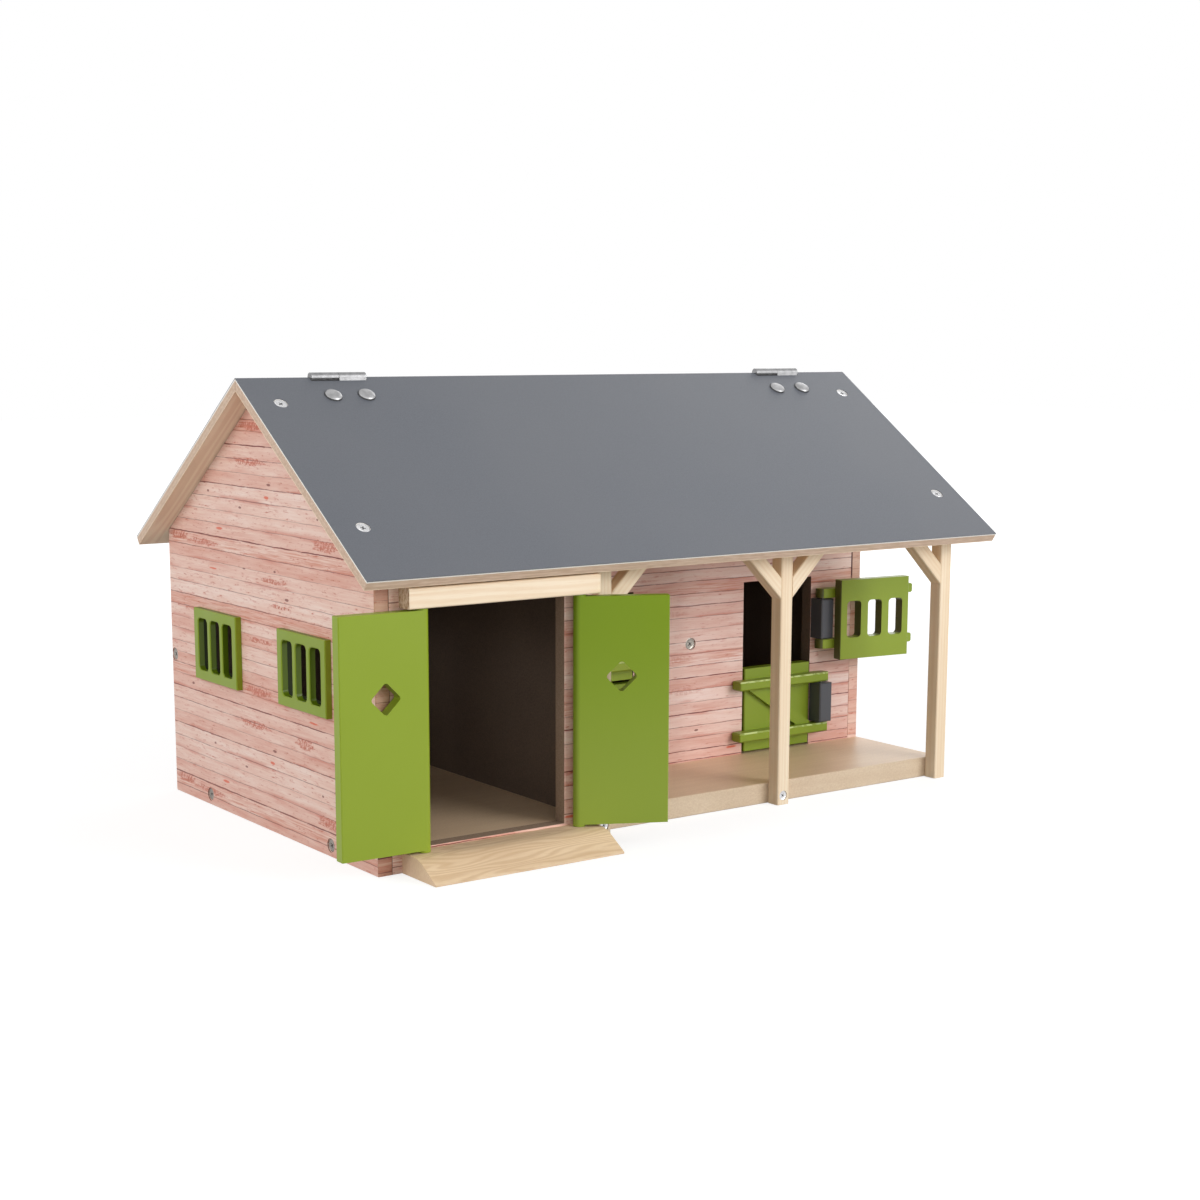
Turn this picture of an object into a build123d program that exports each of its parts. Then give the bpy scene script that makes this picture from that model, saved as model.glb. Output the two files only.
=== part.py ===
"""Toy barn: two stalls with half-doors behind an open porch, a storage bay with
double doors, and a gable roof whose rear panel lifts on two ridge hinges.

Millimetres, +Z up. The drawing frame has X along the ridge, Y towards the back,
its zero at the left gable's outer face, the storage front and the ground. The
parts are moved at the end so that the origin is the bottom centre of the whole.
"""
from build123d import *
from math import cos, radians, sin, sqrt, tan
import os

# ---- boards and house ----
HOUSE_W = 423.0          # outer faces of the two gables
HOUSE_D = 255.0          # storage front to back wall
BOARD_T = 8.5            # wall boards
FLOOR_T = 12.5           # floor boards
PORCH_EDGE = 14.5        # front edge of the stable floor
STORE_R = 145.6          # outer face of the storage's right wall
STABLE_BACK = 36.9       # ridge plane to the front of the recessed stable wall
STALL_WALL_OFF = 1.45    # wall between the stalls, left of their middle
STALL_WALL_H = 130.0     # its height above the floor
ARRIS = 0.5              # broken edges of the boards and bars

# ---- roof ----
SLOPE_ANGLE = 34.25
RIDGE_Z = 256.9
PANEL_L = 175.2          # ridge to eave, on the top face
PANEL_T = 6.0
SIDE_OUT = 13.5          # overhang past each gable
MITRE_GAP = 0.2          # each panel to the ridge plane
LID_GAP = 0.2            # walls to the lifting panel

# ---- ridge hinges ----
HINGE_LEFT = 50.0        # middle of the left hinge, from the left gable
HINGE_RIGHT = 46.5       # middle of the right hinge, from the right gable
HINGE_L = 35.0
HINGE_PLATE = 1.0
HINGE_REACH = 27.0       # plate length under the panel
HINGE_NOTCH = 0.4        # air round a hinge in its notch
KNUCKLE_R = 2.6
KNUCKLE_GAP = 0.1        # each knuckle to the middle of the hinge
CURL_SLIT = 0.35         # where the curled plate stops
RIVET_PITCH = 21.2
RIVET_DOWN = 18.0        # rivets below the ridge, along the slope
RIVET_R = 2.0
RIVET_TAIL = (3.4, 2.0)  # radius and height of the closed end
CAP_R, CAP_T = 5.2, 1.9
CAP_BEVEL = (0.8, 1.3)   # height and width of the cap's sloping rim

# ---- storage doorway, beam, ramp, leaves ----
STORE_DOOR_W = 87.7
STORE_DOOR_OFF = 1.85    # doorway right of the bay's middle
BEAM_L = 120.5
BEAM_T = 11.0            # square section
BEAM_DROP = 21.6         # top of the storage front to the beam's underside
BEAM_SOFT = 1.0
RAMP_TOP = 11.3
RAMP_REACH = 34.0
RAMP_FLAT = 16.8
RAMP_NOSE = 1.0          # height of the toe
RAMP_CREST_R = 18.0
LEAF_T = 7.0
LEAF_GAP = (1.4, 1.1)    # leaf to ramp, leaf to beam
LEAF_MEET = 0.9          # between the closed leaves
LEAF_BACK = 2.0          # closed leaf to the wall
LEAF_PIN_OUT = 6.2       # pin past the doorway's jamb
LEAF_PIN_R = 1.5
LEAF_PIN_BITE = 7.0      # pin length in each piece
BOSS_GAP = 0.2           # round foot of a leaf to ramp and beam
LEAF_OPEN_ANGLES = (-181.9, 153.2)
DIAMOND = 9.0            # half diagonal
DIAMOND_UP = 82.9        # its middle above the leaf's foot
DIAMOND_R = 1.8

# ---- stall half-doors ----
PIN_TO_GABLE = 29.8      # right stall's pin to the gable's inner face
PIN_TO_WALL = 39.7       # left stall's pin to the middle of the wall between the stalls
DOOR_PIN_R = 1.1
PIN_TO_DOOR = 6.3        # pin to the panel's near edge
DOOR_W = 55.4
DOOR_T = 7.0
DOOR_PROUD = 0.8         # panel in front of the wall
JAMB_GAP = (0.8, 1.35)   # doorway round a panel, near and far side
SILL_GAP = 1.5
LOWER_H = 54.2
HALF_GAP = 2.4           # between the two halves
UPPER_H = 52.4
HEAD_GAP = 1.7
BLOCK_UP = 0.5           # middle of a block above the panel's middle
BLOCK_W, BLOCK_D, BLOCK_H = 10.4, 11.0, 26.0
BLOCK_SOFT = 0.7
BATTEN_H, BATTEN_D = 6.0, 8.0
BATTEN_OVER = (10.0, 8.0)  # battens past the panel's far edge, lower and upper half
BATTEN_GAP = 0.8         # batten to block
BATTEN_SOFT = 0.9
BRACE_T = 3.2
BRACE_RUN = 13.6         # horizontal width of the diagonal
BRACE_SHORT = 2.0        # diagonal kept back from the panel's near edge
SHUTTER_OPEN_ANGLE = 173.3
SLOT_BORDER = (5.3, 14.05)
SLOT_BAR = 5.6
SLOT_R = 2.6

# ---- windows ----
WINDOW_Y = (76.0, 185.0)
WINDOW_Z = 98.5
WINDOW_W, WINDOW_H, WINDOW_T = 56.6, 42.8, 3.8
WINDOW_LIP = 4.6         # frame over the hole's edge
PANE_BORDER = (5.5, 5.75)
PANE_BAR = 3.9
PANE_R = 3.0

# ---- porch ----
POST = 9.0               # square section of posts and struts
POST_Y = 5.5
POST_OFF_WALL = 0.8      # middle post's left face past the middle of the stall wall
POST_TO_END = 11.1       # right post's left face to the right gable's outer face
STRUT_DROP = 40.7        # foot of a strut below the roof

# ---- screws ----
SCREW_HEAD_R = 4.0
SCREW_R = 1.8
SCREW_L = 18.0
SHORT_SCREW_L = 5.6
SCREW_SINK = 0.15        # heads below the face
POST_HEAD_R = 3.0        # smaller heads at the posts' feet
POST_SINK = 0.5
POST_SCREW_Z = 5.6
SCREW_RIM = 0.3          # height of a head's edge
SCREW_HIGH, SCREW_LOW = 24.0, 132.9  # roof screws below the ridge, along the slope
FLOOR_SCREW_Y = (52.0, 204.8)
WALL_SCREW_Z = 86.4
FRONT_SCREW_Z = 88.4

RUN = 0.05               # running clearance on a radius

# ---- worked out from the sizes above ----
MID_Y = HOUSE_D / 2
BACK_Y = HOUSE_D - BOARD_T
GABLE_MID = BOARD_T / 2
GABLE_IN = HOUSE_W - BOARD_T
STORE_IN = STORE_R - BOARD_T
STABLE_Y = MID_Y - STABLE_BACK
STALL_WALL_X = (STORE_R + GABLE_IN) / 2 - STALL_WALL_OFF
SIN, COS, TAN = sin(radians(SLOPE_ANGLE)), cos(radians(SLOPE_ANGLE)), tan(radians(SLOPE_ANGLE))
UNDER_Z = RIDGE_Z - PANEL_T / COS
HINGE_X = (HINGE_LEFT, HOUSE_W - HINGE_RIGHT)
HINGE_PIN_R = KNUCKLE_R - HINGE_PLATE - RUN
STORE_DOOR_X = STORE_R / 2 + STORE_DOOR_OFF
BEAM_Z = UNDER_Z - MID_Y * TAN - BEAM_DROP
LEAF_PIN_X = [STORE_DOOR_X + side * (STORE_DOOR_W / 2 + LEAF_PIN_OUT) for side in (-1, 1)]
LEAF_PIN_Y = -LEAF_T / 2 - LEAF_BACK
LEAF_REACH = (LEAF_PIN_X[1] - LEAF_PIN_X[0] - LEAF_MEET) / 2
DOOR_PIN_X = (STALL_WALL_X - PIN_TO_WALL, GABLE_IN - PIN_TO_GABLE)
DOOR_PIN_Y = STABLE_Y - BLOCK_D / 2
DOOR_FACE = BLOCK_D / 2 - DOOR_PROUD
DOOR_FAR = -PIN_TO_DOOR - DOOR_W
LOWER_Z = (FLOOR_T + SILL_GAP, FLOOR_T + SILL_GAP + LOWER_H)
UPPER_Z = (LOWER_Z[1] + HALF_GAP, LOWER_Z[1] + HALF_GAP + UPPER_H)
POST_X = (STORE_R, STALL_WALL_X + POST_OFF_WALL, HOUSE_W - POST_TO_END)


# ---- helpers ----
def along_x(sketch, x, depth):
    """Extrude a sketch drawn in (Y, Z) from x towards +X."""
    plane = Plane(origin=(x, 0, 0), x_dir=(0, 1, 0), z_dir=(1, 0, 0))
    return extrude(plane * sketch, amount=depth)


def along_y(sketch, y, depth):
    """Extrude a sketch drawn in (X, Z) from y towards +Y."""
    plane = Plane(origin=(0, y, 0), x_dir=(1, 0, 0), z_dir=(0, -1, 0))
    return extrude(plane * sketch, amount=-depth)


def along_z(sketch, z, depth):
    return extrude(Pos(0, 0, z) * sketch, amount=depth)


def outline(*points):
    return make_face(Polyline(*points, close=True))


def rect(x0, x1, z0, z1):
    return Pos((x0 + x1) / 2, (z0 + z1) / 2) * Rectangle(x1 - x0, z1 - z0)


def board(x, y, z):
    """Box between two corners, given as three ranges."""
    size = [b - a for a, b in (x, y, z)]
    mid = [(a + b) / 2 for a, b in (x, y, z)]
    return Pos(*mid) * Box(*size)


def rod(radius, z0, z1):
    return Pos(0, 0, (z0 + z1) / 2) * Cylinder(radius, z1 - z0)


def broken(part, *axes, size=ARRIS):
    """Chamfer the straight edges of a part that run along the given axes."""
    edges = [edge for axis in axes for edge in part.edges().filter_by(axis)]
    return chamfer(edges, size)


def roof_under(y):
    """Height of the roof's underside over a point."""
    return UNDER_Z - abs(MID_Y - y) * TAN


def roof_space():
    """Everything below the two roof panels."""
    drop = LID_GAP / COS
    near, far = -SIDE_OUT, HOUSE_D + SIDE_OUT
    profile = outline(
        (near, 0), (near, roof_under(near)), (MID_Y, UNDER_Z), (MID_Y, UNDER_Z - drop),
        (far, roof_under(far) - drop), (far, 0))
    return along_x(profile, -SIDE_OUT, HOUSE_W + 2 * SIDE_OUT)


# ---- screws: countersunk, drawn head up at the origin ----
def screw(length, head=SCREW_HEAD_R, sink=SCREW_SINK, above=0.0):
    """Above is zero for the screw itself, and clears the board's face for its hole."""
    rim = -sink - SCREW_RIM
    neck = rim - (head - SCREW_R)
    return revolve(Plane.XZ * outline(
        (0, above - sink), (head, above - sink), (head, rim),
        (SCREW_R, neck), (SCREW_R, -length), (0, -length)), Axis.Z)


def roof_point(x, s):
    """A point on the front panel's top face, s below the ridge."""
    return Pos(x, MID_Y - s * COS, RIDGE_Z - s * SIN)


def roof_screw_places():
    """The low right-hand screw has no board under it and stops inside the panel."""
    left, right = GABLE_MID, HOUSE_W - GABLE_MID
    spots = [(left, SCREW_HIGH, SCREW_L), (left, SCREW_LOW, SCREW_L),
             (right, SCREW_HIGH, SCREW_L), (right, SCREW_LOW, SHORT_SCREW_L)]
    return [(roof_point(x, s) * Rot(SLOPE_ANGLE, 0, 0), length) for x, s, length in spots]


def wall_screw_places():
    left, right, front, back = Rot(0, -90, 0), Rot(0, 90, 0), Rot(90, 0, 0), Rot(-90, 0, 0)
    walls = [Pos(0, y, FLOOR_T / 2) * left for y in FLOOR_SCREW_Y]
    walls += [Pos(0, HOUSE_D - GABLE_MID, WALL_SCREW_Z) * left]
    walls += [Pos(HOUSE_W, STABLE_Y + GABLE_MID, WALL_SCREW_Z) * right]
    walls += [Pos(STALL_WALL_X, STABLE_Y, FRONT_SCREW_Z) * front]
    walls += [Pos(x, HOUSE_D, WALL_SCREW_Z) * back
              for x in (STORE_R - GABLE_MID, STALL_WALL_X, HOUSE_W - GABLE_MID)]
    return [(place, SCREW_L) for place in walls]


def post_screw_places():
    """The right-hand post has none."""
    return [(Pos(x + POST / 2, POST_Y, POST_SCREW_Z) * Rot(90, 0, 0), SCREW_L, POST_HEAD_R, POST_SINK)
            for x in POST_X[:2]]


def drill(part):
    """Countersunk holes for every screw that reaches this part."""
    for place, *sizes in roof_screw_places() + wall_screw_places() + post_screw_places():
        part = part - place * screw(*sizes, above=SCREW_R)
    return part


# ---- house ----
def upright_x(x, y0, y1, z0):
    """A wall board across the house, cut to the roof."""
    return broken(along_x(rect(y0, y1, z0, RIDGE_Z), x, BOARD_T), Axis.Z) & roof_space()


def upright_y(y, face):
    """A wall board along the house, cut to the roof."""
    return along_y(face, y, BOARD_T) & roof_space()


def left_gable():
    wall = upright_x(0, 0, HOUSE_D, 0)
    for y in WINDOW_Y:
        hole = Pos(y, WINDOW_Z) * Rectangle(WINDOW_W - 2 * WINDOW_LIP, WINDOW_H - 2 * WINDOW_LIP)
        wall -= along_x(hole, 0, BOARD_T)
    return wall


def storage_front():
    jambs = [STORE_DOOR_X + side * STORE_DOOR_W / 2 for side in (-1, 1)]
    return upright_y(0, rect(BOARD_T, STORE_IN, 0, RIDGE_Z) - rect(*jambs, FLOOR_T, BEAM_Z))


def stable_front():
    face = rect(STORE_R, GABLE_IN, FLOOR_T, RIDGE_Z)
    for pin in DOOR_PIN_X:
        face -= rect(pin + DOOR_FAR - JAMB_GAP[1], pin - PIN_TO_DOOR + JAMB_GAP[0],
                     FLOOR_T, UPPER_Z[1] + HEAD_GAP)
    return upright_y(STABLE_Y, face)


def stall_wall():
    wall = board((STALL_WALL_X - GABLE_MID, STALL_WALL_X + GABLE_MID),
                 (STABLE_Y + BOARD_T, BACK_Y), (FLOOR_T, FLOOR_T + STALL_WALL_H))
    return chamfer(wall.edges().filter_by(Axis.Y).group_by(Axis.Z)[-1], 2 * ARRIS)


def floors():
    store = board((BOARD_T, STORE_IN), (BOARD_T, BACK_Y), (0, FLOOR_T))
    stable = board((STORE_R, HOUSE_W), (PORCH_EDGE, BACK_Y), (0, FLOOR_T))
    front = stable.edges().filter_by(Axis.X).group_by(Axis.Y)[0]
    return store, chamfer(front, ARRIS)


# ---- windows and slotted shutters ----
def slots(width, height, border, bar, radius):
    """Three round-cornered slots in a board that is centred at the origin."""
    wide = (width - 2 * border[0] - 2 * bar) / 3
    slot = RectangleRounded(wide, height - 2 * border[1], radius)
    return [Pos(i * (wide + bar), 0) * slot for i in (-1, 0, 1)]


def window(y):
    face = Rectangle(WINDOW_W, WINDOW_H)
    for pane in slots(WINDOW_W, WINDOW_H, PANE_BORDER, PANE_BAR, PANE_R):
        face -= pane
    frame = along_x(Pos(y, WINDOW_Z) * face, -WINDOW_T, WINDOW_T)
    front = frame.faces().sort_by(Axis.X)[0].edges()
    return chamfer(front, ARRIS)


# ---- porch ----
def post(x):
    bar = board((x, x + POST), (POST_Y, POST_Y + POST), (0, RIDGE_Z))
    return broken(bar, Axis.Z) & roof_space()


def strut(x, side):
    """A bar at 45 degrees from a post's face up to the roof."""
    foot = roof_under(POST_Y) - STRUT_DROP
    rise = POST * sqrt(2)
    run = STRUT_DROP + POST
    face = outline((x, foot), (x, foot + rise), (x + side * run, foot + rise + run),
                   (x + side * run, foot + run))
    bar = along_y(face, POST_Y, POST)
    rims = [edge for y in (0, -1) for edge in bar.faces().sort_by(Axis.Y)[y].edges()
            if abs(edge.tangent_at(0).X * edge.tangent_at(0).Z) > 0.1]
    return chamfer(rims, ARRIS) & roof_space()


# ---- roof ----
def panel_profile(side):
    """Side -1 is the front panel, +1 the rear one."""
    top = (side * MITRE_GAP, -MITRE_GAP * TAN)
    eave = (side * PANEL_L * COS, -PANEL_L * SIN)
    under = (eave[0] - side * PANEL_T * SIN, eave[1] - PANEL_T * COS)
    low = (side * MITRE_GAP, UNDER_Z - RIDGE_Z - MITRE_GAP * TAN)
    return outline(top, eave, under, low)


def roof_panel(side):
    panel = along_x(Pos(MID_Y, RIDGE_Z) * panel_profile(side), -SIDE_OUT, HOUSE_W + 2 * SIDE_OUT)
    reach = KNUCKLE_R + HINGE_NOTCH
    half = HINGE_L / 2 + HINGE_NOTCH
    for x in HINGE_X:
        panel -= board((x - half, x + half), (MID_Y - reach, MID_Y + reach), (0, RIDGE_Z + reach))
        for place in rivet_places(x, side):
            panel -= place * rod(RIVET_R, -3 * PANEL_T, PANEL_T)
    return panel


# ---- ridge hinges: each leaf drops through the ridge joint and turns under its panel ----
def rivet_places(x, side):
    """Rivet heads on the top face, with Z along the panel's normal."""
    spot = Pos(0, MID_Y + side * RIVET_DOWN * COS, RIDGE_Z - RIVET_DOWN * SIN)
    turn = Rot(-side * SLOPE_ANGLE, 0, 0)
    return [Pos(x + i * RIVET_PITCH / 2, 0, 0) * spot * turn for i in (-1, 1)]


def leaf_profile(side, top):
    """Cranked plate: down beside the ridge plane, then along the underside."""
    outer, inner = side * KNUCKLE_R, side * (KNUCKLE_R - HINGE_PLATE)
    drop = UNDER_Z - RIDGE_Z
    plate = HINGE_PLATE / COS
    end = side * HINGE_REACH * COS
    return outline((outer, top), (outer, drop - KNUCKLE_R * TAN), (end, drop - HINGE_REACH * SIN),
                   (end, drop - HINGE_REACH * SIN - plate),
                   (inner, drop - (KNUCKLE_R - HINGE_PLATE) * TAN - plate), (inner, top))


def knuckle_profile(side):
    """The plate's curl round the pin, over the top and down to a slit on its far side."""
    curl = leaf_profile(side, 0) + Circle(KNUCKLE_R) - Circle(HINGE_PIN_R + RUN)
    slit = Pos(-side * KNUCKLE_R, 0) * Rectangle(2 * HINGE_PLATE + CURL_SLIT, CURL_SLIT)
    return curl - Rot(0, 0, side * SLOPE_ANGLE / 2) * slit


def hinge_leaf(x, side):
    """The rear leaf carries the left knuckle, the front leaf the right one."""
    half = HINGE_L / 2
    clear = -sqrt((KNUCKLE_R + HINGE_NOTCH) ** 2 - (KNUCKLE_R - HINGE_PLATE) ** 2)
    knuckle_x = x + KNUCKLE_GAP if side < 0 else x - half
    plate_x = x - half if side < 0 else x - KNUCKLE_GAP
    place = Pos(MID_Y, RIDGE_Z)
    leaf = along_x(place * leaf_profile(side, clear), plate_x, half + KNUCKLE_GAP)
    leaf += along_x(place * knuckle_profile(side), knuckle_x, half - KNUCKLE_GAP)
    for place in rivet_places(x, side):
        leaf -= place * rod(RIVET_R, -3 * PANEL_T, PANEL_T)
    return leaf


def hinge_pin(x):
    return along_x(Pos(MID_Y, RIDGE_Z) * Circle(HINGE_PIN_R), x - HINGE_L / 2, HINGE_L)


def rivet():
    """A domed cap on a shank that is closed under the hinge plate."""
    seat = -PANEL_T - HINGE_PLATE
    tail_r, tail_h = RIVET_TAIL
    fall, slant = CAP_BEVEL
    return revolve(Plane.XZ * outline(
        (0, CAP_T), (CAP_R - slant, CAP_T), (CAP_R, CAP_T - fall), (CAP_R, 0), (RIVET_R, 0),
        (RIVET_R, seat), (tail_r, seat), (RIVET_R, seat - tail_h), (0, seat - tail_h)), Axis.Z)


def rivets(side):
    return [place * rivet() for x in HINGE_X for place in rivet_places(x, side)]


# ---- storage doors ----
def storage_bar(face):
    """A long piece over or under the storage doorway, drawn in (Y, Z)."""
    return along_x(face, STORE_DOOR_X - BEAM_L / 2, BEAM_L)


def beam():
    bar = storage_bar(rect(-BEAM_T, 0, BEAM_Z, BEAM_Z + BEAM_T))
    bar = fillet(bar.edges().filter_by(Axis.X), BEAM_SOFT)
    for x in LEAF_PIN_X:
        bar -= Pos(x, LEAF_PIN_Y) * rod(LEAF_PIN_R, BEAM_Z, BEAM_Z + LEAF_PIN_BITE)
    return bar


def ramp():
    face = outline((0, 0), (0, RAMP_TOP), (-RAMP_FLAT, RAMP_TOP),
                   (-RAMP_REACH, RAMP_NOSE), (-RAMP_REACH, 0))
    crest = face.vertices().sort_by(lambda v: abs(v.X + RAMP_FLAT))[0]
    wedge = storage_bar(fillet(crest, RAMP_CREST_R))
    for x in LEAF_PIN_X:
        wedge -= Pos(x, LEAF_PIN_Y) * rod(LEAF_PIN_R, RAMP_TOP - LEAF_PIN_BITE, RAMP_TOP)
    return wedge


def diamond():
    side = DIAMOND * sqrt(2)
    return fillet((Rot(0, 0, 45) * Rectangle(side, side)).vertices(), DIAMOND_R)


def storage_leaf(side):
    """One leaf about its pin, closed: side +1 reaches to +X."""
    half = LEAF_T / 2
    foot, head = RAMP_TOP + LEAF_GAP[0], BEAM_Z - LEAF_GAP[1]
    low, high = RAMP_TOP + BOSS_GAP, BEAM_Z - BOSS_GAP
    hole = LEAF_PIN_R + RUN
    leaf = along_z(Pos(LEAF_REACH / 2, 0) * Rectangle(LEAF_REACH, LEAF_T) + Circle(half),
                   foot, head - foot)
    leaf = chamfer(leaf.edges().filter_by(Axis.Z).group_by(Axis.X)[-1], ARRIS)
    leaf += rod(half, low, high)
    leaf -= along_y(Pos((LEAF_REACH - half) / 2, foot + DIAMOND_UP) * diamond(), -half, LEAF_T)
    leaf -= rod(hole, low, RAMP_TOP + LEAF_PIN_BITE + RUN)
    leaf -= rod(hole, BEAM_Z - LEAF_PIN_BITE - RUN, high)
    return leaf if side > 0 else mirror(leaf, Plane.YZ)


def storage_leaves():
    turns = zip(LEAF_PIN_X, (1, -1), LEAF_OPEN_ANGLES)
    return [Pos(x, LEAF_PIN_Y) * Rot(0, 0, angle) * storage_leaf(side) for x, side, angle in turns]


def leaf_pins(x):
    pin = Pos(x, LEAF_PIN_Y) * rod(LEAF_PIN_R, -LEAF_PIN_BITE, LEAF_PIN_BITE)
    return [Pos(0, 0, z) * pin for z in (RAMP_TOP, BEAM_Z)]


# ---- stall half-doors, drawn closed about their pin ----
def door_panel(z, slotted):
    face = rect(DOOR_FAR, -PIN_TO_DOOR, *z)
    if slotted:
        middle = Pos((DOOR_FAR - PIN_TO_DOOR) / 2, (z[0] + z[1]) / 2)
        for slot in slots(DOOR_W, z[1] - z[0], SLOT_BORDER, SLOT_BAR, SLOT_R):
            face -= middle * slot
    panel = along_y(face, DOOR_FACE, DOOR_T)
    corners = panel.edges().filter_by(Axis.Z).group_by(Axis.X)
    return chamfer(corners[0] + corners[-1], ARRIS)


def batten(z, over):
    """A bar on the panel that runs on past it and rounds off about the pin."""
    far = DOOR_FAR - over
    front = DOOR_FACE - BATTEN_D
    bar = Pos(far / 2, (front + DOOR_FACE) / 2) * Rectangle(-far, BATTEN_D)
    bar = fillet(bar.vertices().group_by(Axis.X)[0].sort_by(Axis.Y)[0], BATTEN_SOFT)
    end = Pos(DOOR_FACE / 2, (front + DOOR_FACE) / 2) * Rectangle(DOOR_FACE, BATTEN_D)
    bar += Circle(DOOR_FACE) & end
    solid = along_z(bar, z, BATTEN_H)
    rims = solid.faces().sort_by(Axis.Y)[0].edges().filter_by(Axis.X)
    return chamfer(rims, BATTEN_SOFT) - rod(DOOR_PIN_R + RUN, z - BATTEN_H, z + 2 * BATTEN_H)


def battens(middle, over):
    """Two bars; their far ends stop the closed door on the wall beside the doorway."""
    reach = BLOCK_H / 2 + BATTEN_GAP
    return [batten(middle + reach, over), batten(middle - reach - BATTEN_H, over)]


def door_brace(middle):
    """The diagonal between the two battens, cut square before it reaches the hinge block."""
    half = BLOCK_H / 2 + BATTEN_GAP
    near = -PIN_TO_DOOR
    stop = near - BRACE_SHORT
    bar = outline((DOOR_FAR, middle + half), (DOOR_FAR + BRACE_RUN, middle + half),
                  (near, middle - half), (near - BRACE_RUN, middle - half))
    bar &= rect(DOOR_FAR, stop, middle - half, middle + half)
    return along_y(bar, DOOR_FACE - BRACE_T, BRACE_T)


def hinge_block(middle):
    block = Pos(0, 0, middle) * Box(BLOCK_W, BLOCK_D, BLOCK_H)
    front = block.faces().sort_by(Axis.Y)[0].edges()
    return chamfer(front, BLOCK_SOFT) - rod(DOOR_PIN_R, middle - BLOCK_H, middle + BLOCK_H)


def door_pin(middle):
    reach = BLOCK_H / 2 + BATTEN_GAP + BATTEN_H
    return rod(DOOR_PIN_R, middle - reach, middle + reach)


def stall_doors():
    """Node name to part, for both stalls; the right stall's shutter stands open."""
    nodes = {}
    for number, (x, swing) in enumerate(zip(DOOR_PIN_X, (0, SHUTTER_OPEN_ANGLE)), 1):
        pin = Pos(x, DOOR_PIN_Y)
        halves = (("lower", pin, LOWER_Z), ("upper", pin * Rot(0, 0, swing), UPPER_Z))
        for (half, place, z), over in zip(halves, BATTEN_OVER):
            middle = (z[0] + z[1]) / 2 + BLOCK_UP
            name = f"stall_{number}_{half}"
            nodes[f"{name}_panel"] = place * door_panel(z, half == "upper")
            nodes[f"{name}_battens"] = [place * bar for bar in battens(middle, over)]
            nodes[f"{name}_block"] = pin * hinge_block(middle)
            nodes[f"{name}_pin"] = pin * door_pin(middle)
            if half == "lower":
                nodes[f"{name}_brace"] = place * door_brace(middle)
    return nodes


# ---- assembly ----
def house():
    store_floor, stable_floor = floors()
    nodes = {
        "storage_floor": store_floor, "stable_floor": stable_floor,
        "left_gable": left_gable(),
        "storage_side": upright_x(STORE_IN, POST_Y, BACK_Y, 0),
        "right_gable": upright_x(GABLE_IN, STABLE_Y, BACK_Y, FLOOR_T),
        "back_wall": upright_y(BACK_Y, rect(BOARD_T, HOUSE_W, 0, RIDGE_Z)),
        "storage_front": storage_front(), "stable_front": stable_front(),
        "stall_wall": stall_wall(), "roof_front": roof_panel(-1)}
    for number, x in enumerate(POST_X, 1):
        nodes[f"post_{number}"] = post(x)
    nodes = {name: drill(part) for name, part in nodes.items()}
    nodes["strut_1_right"] = strut(POST_X[0] + POST, 1)
    nodes["strut_2_left"] = strut(POST_X[1], -1)
    nodes["strut_2_right"] = strut(POST_X[1] + POST, 1)
    nodes["strut_3_left"] = strut(POST_X[2], -1)
    nodes["window_front"], nodes["window_rear"] = (window(y) for y in WINDOW_Y)
    nodes["beam"], nodes["ramp"] = beam(), ramp()
    return nodes


def hardware():
    nodes = {"front_rivets": rivets(-1), "rear_rivets": rivets(1)}
    for name, places in (("roof_screws", roof_screw_places()), ("wall_screws", wall_screw_places()),
                         ("post_screws", post_screw_places())):
        nodes[name] = [place * screw(*sizes) for place, *sizes in places]
    for side, x in zip(("left", "right"), HINGE_X):
        nodes[f"hinge_{side}_front_leaf"] = hinge_leaf(x, -1)
        nodes[f"hinge_{side}_rear_leaf"] = hinge_leaf(x, 1)
        nodes[f"hinge_{side}_pin"] = hinge_pin(x)
    for side, x in zip(("left", "right"), LEAF_PIN_X):
        nodes[f"leaf_{side}_pins"] = leaf_pins(x)
    return nodes


def assembly():
    nodes = house() | hardware() | stall_doors()
    nodes["roof_rear"] = roof_panel(1)
    nodes["leaf_left"], nodes["leaf_right"] = storage_leaves()
    return nodes


def solids(part):
    parts = part if isinstance(part, list) else [part]
    return [solid for piece in parts for solid in piece.solids()]


def main():
    os.makedirs("parts", exist_ok=True)
    nodes = {name: Compound(children=solids(part)) for name, part in assembly().items()}
    boxes = [part.bounding_box() for part in nodes.values()]
    low = [min(getattr(box.min, axis) for box in boxes) for axis in "XYZ"]
    high = [max(getattr(box.max, axis) for box in boxes) for axis in "XYZ"]
    shift = [-(low[0] + high[0]) / 2, -(low[1] + high[1]) / 2]
    for name, part in nodes.items():
        export_step(Pos(*shift) * part, f"parts/{name}.step")
    print("moved by", shift, "low", low, "high", high, "nodes", len(nodes))
    print("leaf pins", LEAF_PIN_X, LEAF_PIN_Y, "door pins", DOOR_PIN_X, DOOR_PIN_Y, "lid", MID_Y, RIDGE_Z)


main()
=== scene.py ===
"""Looks of the toy barn: printed plank walls, a grey laminated roof, bare wood bars,
green painted doors and plated hardware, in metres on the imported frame."""
from math import atan2, cos, pi, radians, sin

import bmesh
import bpy
from mathutils import Matrix, Vector

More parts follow.
